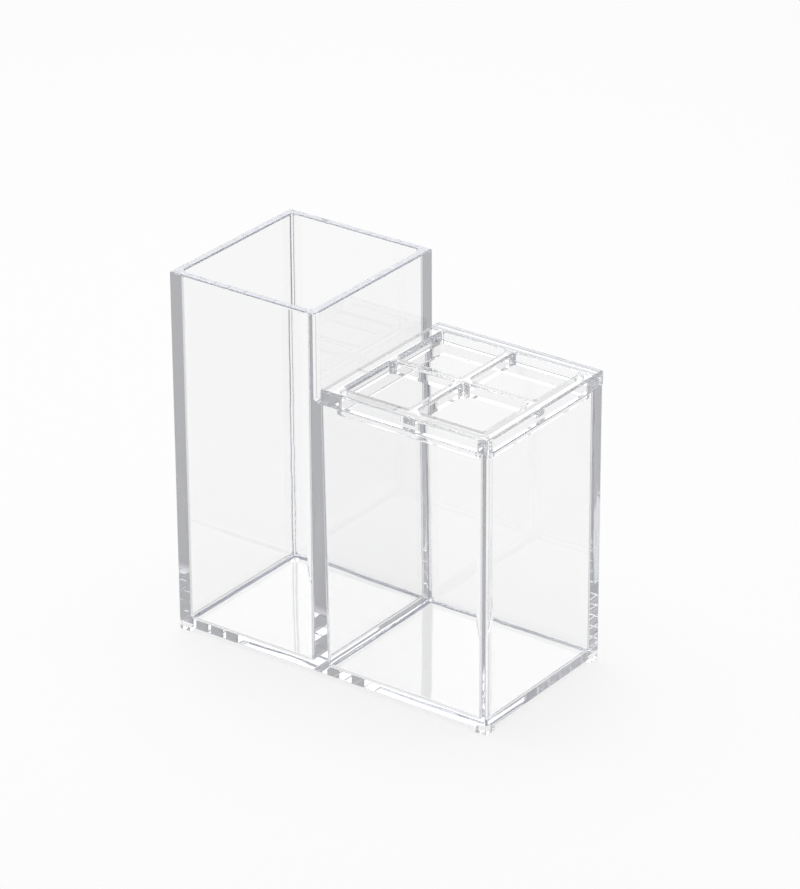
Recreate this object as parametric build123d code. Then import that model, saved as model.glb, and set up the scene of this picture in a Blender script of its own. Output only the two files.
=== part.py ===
from build123d import *
import os

# A clear moulded organizer: a tall open compartment with a low one beside it,
# and a slotted lid that lifts off the low one.
# Millimetres, +Z up, X along the length with the tall compartment at low X, Y from front to back.
# The origin is on the table, under the middle of the whole object.

# Body, outside
body_length = 136.0
body_depth = 69.8
tall_length = 63.3
tall_height = 140.9
low_rim_height = 108.1
corner_radius = 1.0

# Body, inside
wall = 3.5
floor_thickness = 2.1
partition_rim = 4.1
partition_foot = 5.9
cavity_radius = 2.0

# Body, edges and feet
step_radius = 1.6
step_land = 0.3
rim_round = 0.7
base_round = 0.6
foot_height = 1.8
foot_length = 5.2
foot_inner_radius = 1.2
foot_round = 0.3

# Lid
lid_height = 5.3
lid_overhang = 0.3
lid_side_gap = 0.3
lid_seat_gap = 0.1
lid_corner_radius = 1.2
bar_width = 4.0
bar_depth = 4.6
slot_radius = 1.3
boss_diameter = 4.6
boss_depth = 6.4
lip_depth = 3.8
lip_thickness = 2.25
lip_clearance = 0.25
lid_round = 0.9
lid_lower_round = 0.4

# Places worked out from the sizes above
left = -(body_length + lid_overhang) / 2
right = left + body_length
front = -body_depth / 2
back = body_depth / 2
tall_right = left + tall_length
floor_top = foot_height + floor_thickness
lid_left = tall_right + step_radius + step_land + lid_side_gap
lid_right = right + lid_overhang
lid_front = front - lid_overhang
lid_back = back + lid_overhang
lid_base = low_rim_height + lid_seat_gap
lid_top = lid_base + lid_height
lid_middle_x = (lid_left + lid_right) / 2
rail_width = lid_overhang + wall + lip_clearance + lip_thickness


def rounded_prism(x0, x1, y0, y1, z0, z1, radius):
    """An upright block with rounded upright corners."""
    outline = RectangleRounded(x1 - x0, y1 - y0, radius)
    return Pos((x0 + x1) / 2, (y0 + y1) / 2, z0) * extrude(outline, z1 - z0)


def edges_at_height(solid, height):
    """The edges that lie flat at one height."""
    return solid.edges().filter_by_position(Axis.Z, height, height)


def low_outside():
    """The outside of the floor and the low walls, with its upper and lower edges rounded."""
    block = rounded_prism(left, right, front, back, foot_height, low_rim_height, corner_radius)
    block = fillet(edges_at_height(block, low_rim_height), rim_round)
    return fillet(edges_at_height(block, foot_height), base_round)


def tall_outside():
    """The outside of the tall walls above the low rim, with the hollow curve where they rise from it."""
    z0 = low_rim_height - rim_round
    reach = step_radius + step_land
    skirt = rounded_prism(left - reach, tall_right + reach, front - reach, back + reach,
                          z0, low_rim_height, corner_radius + reach)
    shaft = rounded_prism(left, tall_right, front, back, z0, tall_height, corner_radius)
    joined = skirt + shaft
    inner_loop = new_edges(skirt, shaft, combined=joined)
    curved = fillet(inner_loop, step_radius)
    return curved & rounded_prism(left, right, front, back, z0, tall_height, corner_radius)


def tall_cavity():
    """The tall compartment's space, rounded along its upright and floor edges."""
    space = Pos(left + wall, 0, floor_top) * Box(
        tall_length - 2 * wall, body_depth - 2 * wall, tall_height,
        align=(Align.MIN, Align.CENTER, Align.MIN))
    return fillet(space.edges() - edges_at_height(space, floor_top + tall_height), cavity_radius)


def low_cavity():
    """The low compartment's space: its partition side leans, so the partition is thicker at its foot."""
    top = low_rim_height + step_radius + rim_round
    lean = (partition_foot - partition_rim) / (low_rim_height - floor_top)
    foot_x = tall_right - wall + partition_foot
    top_x = foot_x - lean * (top - floor_top)
    outline = Polyline((foot_x, floor_top), (right - wall, floor_top),
                       (right - wall, top), (top_x, top), close=True)
    space = extrude(Plane.XZ * make_face(outline), body_depth / 2 - wall, both=True)
    return fillet(space.edges() - edges_at_height(space, top), cavity_radius)


def low_mouth_edges(shell):
    """The edges round the low compartment's mouth, clear of the hollow curve."""
    edges = edges_at_height(shell, low_rim_height)
    edges = edges.filter_by_position(Axis.X, tall_right + step_radius, right - wall)
    return edges.filter_by_position(Axis.Y, front + wall, back - wall)


def foot(corner_x, corner_y):
    """A moulded foot under one corner, flush with the two walls that meet there."""
    foot_top = foot_height + base_round
    body_plan = rounded_prism(left, right, front, back, 0, foot_top, corner_radius)
    pad = body_plan & rounded_prism(corner_x - foot_length, corner_x + foot_length,
                                    corner_y - foot_length, corner_y + foot_length,
                                    0, foot_top, foot_inner_radius)
    return fillet(edges_at_height(pad, 0), foot_round)


def organizer_body():
    """Both compartments, their shared partition and the four feet, moulded as one piece."""
    shell = low_outside() + tall_outside() - tall_cavity() - low_cavity()
    shell = fillet(edges_at_height(shell, tall_height), rim_round)
    shell = fillet(low_mouth_edges(shell), rim_round)
    for corner_x in (left, right):
        for corner_y in (front, back):
            shell = shell + foot(corner_x, corner_y)
    return shell


def slotted_lid():
    """A frame on the low rim with four slots between its crossed bars, and a lip inside the walls."""
    inner_left = lid_left + rail_width
    inner_right = lid_right - rail_width
    inner_front = lid_front + rail_width
    inner_back = lid_back - rail_width
    lip_base = lid_base - lip_depth
    bar_base = lid_top - bar_depth
    frame = rounded_prism(lid_left, lid_right, lid_front, lid_back,
                          lid_base, lid_top, lid_corner_radius)
    frame = fillet(edges_at_height(frame, lid_base), lid_lower_round)
    lip = rounded_prism(inner_left - lip_thickness, inner_right + lip_thickness,
                        inner_front - lip_thickness, inner_back + lip_thickness,
                        lip_base, lid_base, slot_radius + lip_thickness)
    lip = fillet(edges_at_height(lip, lip_base), lid_lower_round)
    well = rounded_prism(inner_left, inner_right, inner_front, inner_back,
                         lip_base, bar_base, slot_radius)
    lid = frame + lip - well
    slot_spans_x = ((inner_left, lid_middle_x - bar_width / 2), (lid_middle_x + bar_width / 2, inner_right))
    slot_spans_y = ((inner_front, -bar_width / 2), (bar_width / 2, inner_back))
    for x0, x1 in slot_spans_x:
        for y0, y1 in slot_spans_y:
            lid = lid - rounded_prism(x0, x1, y0, y1, bar_base, lid_top, slot_radius)
    lid = fillet(edges_at_height(lid, lid_top), lid_round)
    boss = Pos(lid_middle_x, 0, lid_top - boss_depth) * Cylinder(
        boss_diameter / 2, boss_depth - bar_depth, align=(Align.CENTER, Align.CENTER, Align.MIN))
    return lid + boss


os.makedirs("parts", exist_ok=True)
export_step(organizer_body(), "parts/organizer_body.step")
export_step(slotted_lid(), "parts/slotted_lid.step")
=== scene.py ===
import math

import bpy
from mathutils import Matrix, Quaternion, Vector


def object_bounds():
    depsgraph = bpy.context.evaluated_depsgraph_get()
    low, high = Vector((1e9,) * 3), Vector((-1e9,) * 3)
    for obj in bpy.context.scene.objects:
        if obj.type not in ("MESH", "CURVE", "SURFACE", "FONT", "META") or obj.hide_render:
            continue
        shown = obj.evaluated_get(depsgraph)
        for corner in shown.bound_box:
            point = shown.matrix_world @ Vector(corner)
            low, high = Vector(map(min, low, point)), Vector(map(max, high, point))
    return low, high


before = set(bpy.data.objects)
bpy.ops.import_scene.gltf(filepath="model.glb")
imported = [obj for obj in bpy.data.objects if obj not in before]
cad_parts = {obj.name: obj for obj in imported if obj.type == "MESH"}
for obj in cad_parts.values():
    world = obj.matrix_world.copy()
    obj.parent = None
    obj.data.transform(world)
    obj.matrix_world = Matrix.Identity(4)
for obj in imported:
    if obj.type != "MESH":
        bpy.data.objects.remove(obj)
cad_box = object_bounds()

MM = 0.001
WHITE = "#FFFFFF"

# Camera, matched to the photograph's view
IMAGE_LONG_SIDE_PIXELS = 889
FOCAL_LENGTH_PIXELS = 4490
SENSOR_WIDTH_MM = 36
CAMERA_PLACE = Vector((844.6, -1143.3, 771.3)) * MM
CAMERA_AIM = Vector((5.9, 0.0, 81.0)) * MM
CAMERA_ROLL_DEGREES = -0.3

# Clear plastic: a metre of it takes the density times what the tint lacks of white
PLASTIC_IOR = 1.59
PLASTIC_TINT = "#E0E2EC"
PLASTIC_DENSITY = 6.0

# Its surface: the melt's flow waves and the rub marks of use
FLOW_WAVE = 18 * MM
FLOW_DEPTH = 0.06 * MM
RUB_PATCH = 6 * MM
RUB_ROUGHNESS = 0.04
RUB_STARTS_AT = 0.5
RUB_FULL_AT = 0.8
RUB_SEED_STEP = 5

# Table: the share of its look that glows white, the rest being lit and shadowed
TABLE_COLOUR = "#F6F6F6"
FLOOR_WIDTH = 12000 * MM
FLOOR_BELOW_FEET = 0.1 * MM
FLOOR_GLOW = 0.8

# Brightness of the room as a lamp and to light mirrored inside the plastic, and of the floor's painted
# shade beside the object for that mirrored light.
# White is 1. FULLY_BENT counts the mirrorings that give the whole effect.
ROOM_LIGHT = 0.45
BENT_FLOOR_PAINTED_SHADE = 0.35
FULLY_BENT = 2

# Where the painted shade on the floor starts and is full beside the object, in half widths of its box
PAINTED_SHADE_STARTS_AT = 1.0
PAINTED_SHADE_FULL_AT = 1.2

# Lamps, in metres, with brightness in terms of the white floor's
OVERHEAD_PLACE = Vector((-0.2, 0.1, 1.3))
OVERHEAD_SIDE = 1.2
OVERHEAD_BRIGHTNESS = 2.5
BACK_PLACE = Vector((-1.5, 2.3, 1.25))
BACK_WIDTH = 2.4
BACK_HEIGHT = 1.2
BACK_BRIGHTNESS = 0.95

# Light goes to and fro many times inside clear walls, and their edges turn black where it is cut short
LIGHT_BOUNCES = 96


def linear(hex_colour):
    """Turns an sRGB hex colour to the linear colour that shaders take."""
    channels = [int(hex_colour[i:i + 2], 16) / 255 for i in (1, 3, 5)]
    return tuple(c / 12.92 if c <= 0.04045 else ((c + 0.055) / 1.055) ** 2.4
                 for c in channels) + (1.0,)


def add_node(tree, kind, settings=None, values=None, links=None):
    """Adds one node with its settings, its constant inputs and the outputs that feed its other inputs."""
    node = tree.nodes.new(kind)
    for name, value in (settings or {}).items():
        setattr(node, name, value)
    for socket, value in (values or {}).items():
        node.inputs[socket].default_value = value
    for socket, source in (links or {}).items():
        tree.links.new(source, node.inputs[socket])
    return node


def empty_tree(owner):
    """A cleared node tree for a material or a world."""
    owner.use_nodes = True
    owner.node_tree.nodes.clear()
    return owner.node_tree


def clear_moulded_polystyrene(name, seed):
    """Clear polystyrene, injection moulded in a polished mould. It gives glass-bright faces that wave a
    little where the melt flowed, a few fine rub marks, and edges that gather a cool grey."""
    material = bpy.data.materials.new(name)
    tree = empty_tree(material)
    place = add_node(tree, "ShaderNodeTexCoord")
    flow = add_node(tree, "ShaderNodeTexNoise", {"noise_dimensions": "4D"},
                    {"W": seed, "Scale": 1 / FLOW_WAVE, "Detail": 1.0, "Roughness": 0.4},
                    {"Vector": place.outputs["Object"]})
    waves = add_node(tree, "ShaderNodeBump",
                     values={"Strength": 1.0, "Distance": FLOW_DEPTH},
                     links={"Height": flow.outputs["Fac"]})
    rubs = add_node(tree, "ShaderNodeTexNoise", {"noise_dimensions": "4D"},
                    {"W": seed + RUB_SEED_STEP, "Scale": 1 / RUB_PATCH, "Detail": 4.0, "Roughness": 0.6},
                    {"Vector": place.outputs["Object"]})
    dullness = add_node(tree, "ShaderNodeMapRange",
                        values={"From Min": RUB_STARTS_AT, "From Max": RUB_FULL_AT,
                                "To Min": 0.0, "To Max": RUB_ROUGHNESS},
                        links={"Value": rubs.outputs["Fac"]})
    surface = add_node(tree, "ShaderNodeBsdfPrincipled",
                       values={"Base Color": linear(WHITE), "IOR": PLASTIC_IOR,
                               "Transmission Weight": 1.0},
                       links={"Normal": waves.outputs["Normal"],
                              "Roughness": dullness.outputs["Result"]})
    inside = add_node(tree, "ShaderNodeVolumeAbsorption",
                      values={"Color": linear(PLASTIC_TINT), "Density": PLASTIC_DENSITY})
    add_node(tree, "ShaderNodeOutputMaterial",
             links={"Surface": surface.outputs["BSDF"], "Volume": inside.outputs["Volume"]})
    return material


def dress(node_name, material):
    """Gives a CAD node its finish."""
    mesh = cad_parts[node_name].data
    mesh.materials.clear()
    mesh.materials.append(material)


def seen_share(tree, path):
    """1 for rays that show what is behind: from the camera, mirrored, or passed through clear plastic."""
    first = add_node(tree, "ShaderNodeMath", {"operation": "MAXIMUM"}, links={
        0: path.outputs["Is Camera Ray"], 1: path.outputs["Is Glossy Ray"]})
    return add_node(tree, "ShaderNodeMath", {"operation": "MAXIMUM"}, links={
        0: first.outputs["Value"], 1: path.outputs["Is Transmission Ray"]}).outputs["Value"]


def bent_share(tree, path):
    """Rises to 1 for rays that leave the plastic after being mirrored to and fro inside it."""
    mirrored = add_node(tree, "ShaderNodeMapRange", values={"From Max": FULLY_BENT},
                        links={"Value": path.outputs["Glossy Depth"]})
    return add_node(tree, "ShaderNodeMath", {"operation": "MULTIPLY"}, links={
        0: mirrored.outputs["Result"], 1: path.outputs["Is Transmission Ray"]}).outputs["Value"]


def painted_shade_beside_box(tree):
    """Mask of the floor's painted shade: 0 on the floor under the object's box, 1 a little way beside it.
    """
    place = add_node(tree, "ShaderNodeTexCoord")
    boxes_away = add_node(tree, "ShaderNodeVectorMath", {"operation": "DIVIDE"},
                          {1: cad_box[1]}, {0: place.outputs["Object"]})
    either_side = add_node(tree, "ShaderNodeVectorMath", {"operation": "ABSOLUTE"},
                           links={0: boxes_away.outputs["Vector"]})
    split = add_node(tree, "ShaderNodeSeparateXYZ", links={0: either_side.outputs["Vector"]})
    furthest = add_node(tree, "ShaderNodeMath", {"operation": "MAXIMUM"}, links={
        0: split.outputs["X"], 1: split.outputs["Y"]})
    return add_node(tree, "ShaderNodeMapRange",
                    values={"From Min": PAINTED_SHADE_STARTS_AT, "From Max": PAINTED_SHADE_FULL_AT},
                    links={"Value": furthest.outputs["Value"]}).outputs["Result"]


def make_floor():
    """A matt white table top that shows white and keeps the object's soft shadow. Beside the object, light
    that was mirrored to and fro inside the plastic sees a painted shade on the floor, which paints grey
    shade into the upright edges."""
    bpy.ops.mesh.primitive_plane_add(size=FLOOR_WIDTH, location=(0, 0, -FLOOR_BELOW_FEET))
    floor = bpy.context.object
    floor.name = "floor"
    material = bpy.data.materials.new("matt_white_table")
    tree = empty_tree(material)
    path = add_node(tree, "ShaderNodeLightPath")
    lit = add_node(tree, "ShaderNodeBsdfDiffuse", values={"Color": linear(TABLE_COLOUR)})
    # Painted shade: the floor's glow drops to BENT_FLOOR_PAINTED_SHADE beside the object, for mirrored
    # light only
    painted_shade_mask = add_node(tree, "ShaderNodeMath", {"operation": "MULTIPLY"}, links={
        0: bent_share(tree, path), 1: painted_shade_beside_box(tree)})
    strength = add_node(tree, "ShaderNodeMix", values={"A": 1.0, "B": BENT_FLOOR_PAINTED_SHADE},
                        links={"Factor": painted_shade_mask.outputs["Value"]})
    glow = add_node(tree, "ShaderNodeEmission", values={"Color": linear(WHITE)},
                    links={"Strength": strength.outputs["Result"]})
    share = add_node(tree, "ShaderNodeMath", {"operation": "MULTIPLY"}, {1: FLOOR_GLOW},
                     {0: seen_share(tree, path)})
    mixed = add_node(tree, "ShaderNodeMixShader", links={
        0: share.outputs["Value"], 1: lit.outputs["BSDF"], 2: glow.outputs["Emission"]})
    add_node(tree, "ShaderNodeOutputMaterial", links={"Surface": mixed.outputs["Shader"]})
    floor.data.materials.append(material)


def make_world():
    """A white studio where it is seen, and a dim grey room as a lamp and to light that was mirrored to and
    fro inside the plastic."""
    world = bpy.data.worlds.new("studio")
    bpy.context.scene.world = world
    tree = empty_tree(world)
    path = add_node(tree, "ShaderNodeLightPath")
    seen = add_node(tree, "ShaderNodeMix", values={"A": 1.0, "B": ROOM_LIGHT},
                    links={"Factor": bent_share(tree, path)})
    strength = add_node(tree, "ShaderNodeMix", values={"A": ROOM_LIGHT}, links={
        "Factor": seen_share(tree, path), "B": seen.outputs["Result"]})
    sky = add_node(tree, "ShaderNodeBackground", values={"Color": linear(WHITE)},
                   links={"Strength": strength.outputs["Result"]})
    add_node(tree, "ShaderNodeOutputWorld", links={"Surface": sky.outputs["Background"]})


def add_softbox(name, place, aim, width, height, brightness):
    """A flat lamp whose face shows with the given brightness, in terms of the white floor's."""
    data = bpy.data.lights.new(name, "AREA")
    data.shape = "RECTANGLE"
    data.size = width
    data.size_y = height
    data.energy = brightness * width * height * math.pi
    lamp = bpy.data.objects.new(name, data)
    lamp.location = place
    lamp.rotation_mode = "QUATERNION"
    lamp.rotation_quaternion = (aim - place).to_track_quat("-Z", "Y")
    lamp.visible_camera = False
    bpy.context.collection.objects.link(lamp)


def make_camera():
    """The photograph's view: its place, its aim and the slight roll of its frame."""
    data = bpy.data.cameras.new("camera")
    data.sensor_width = SENSOR_WIDTH_MM
    data.lens = FOCAL_LENGTH_PIXELS / IMAGE_LONG_SIDE_PIXELS * SENSOR_WIDTH_MM
    camera = bpy.data.objects.new("camera", data)
    camera.location = CAMERA_PLACE
    camera.rotation_mode = "QUATERNION"
    level = (CAMERA_AIM - CAMERA_PLACE).to_track_quat("-Z", "Y")
    roll = Quaternion((0, 0, 1), math.radians(CAMERA_ROLL_DEGREES))
    camera.rotation_quaternion = level @ roll
    bpy.context.collection.objects.link(camera)
    bpy.context.scene.camera = camera


# Each moulding has its own flow waves and rub marks
dress("organizer_body", clear_moulded_polystyrene("clear_polystyrene_body", 0))
dress("slotted_lid", clear_moulded_polystyrene("clear_polystyrene_lid", 1))

make_floor()
make_world()
middle = (cad_box[0] + cad_box[1]) / 2
add_softbox("overhead_softbox", OVERHEAD_PLACE, middle,
            OVERHEAD_SIDE, OVERHEAD_SIDE, OVERHEAD_BRIGHTNESS)
add_softbox("back_softbox", BACK_PLACE, middle, BACK_WIDTH, BACK_HEIGHT, BACK_BRIGHTNESS)
make_camera()

scene = bpy.context.scene
scene.view_settings.view_transform = "Standard"
scene.cycles.max_bounces = LIGHT_BOUNCES
scene.cycles.transmission_bounces = LIGHT_BOUNCES
scene.cycles.glossy_bounces = LIGHT_BOUNCES
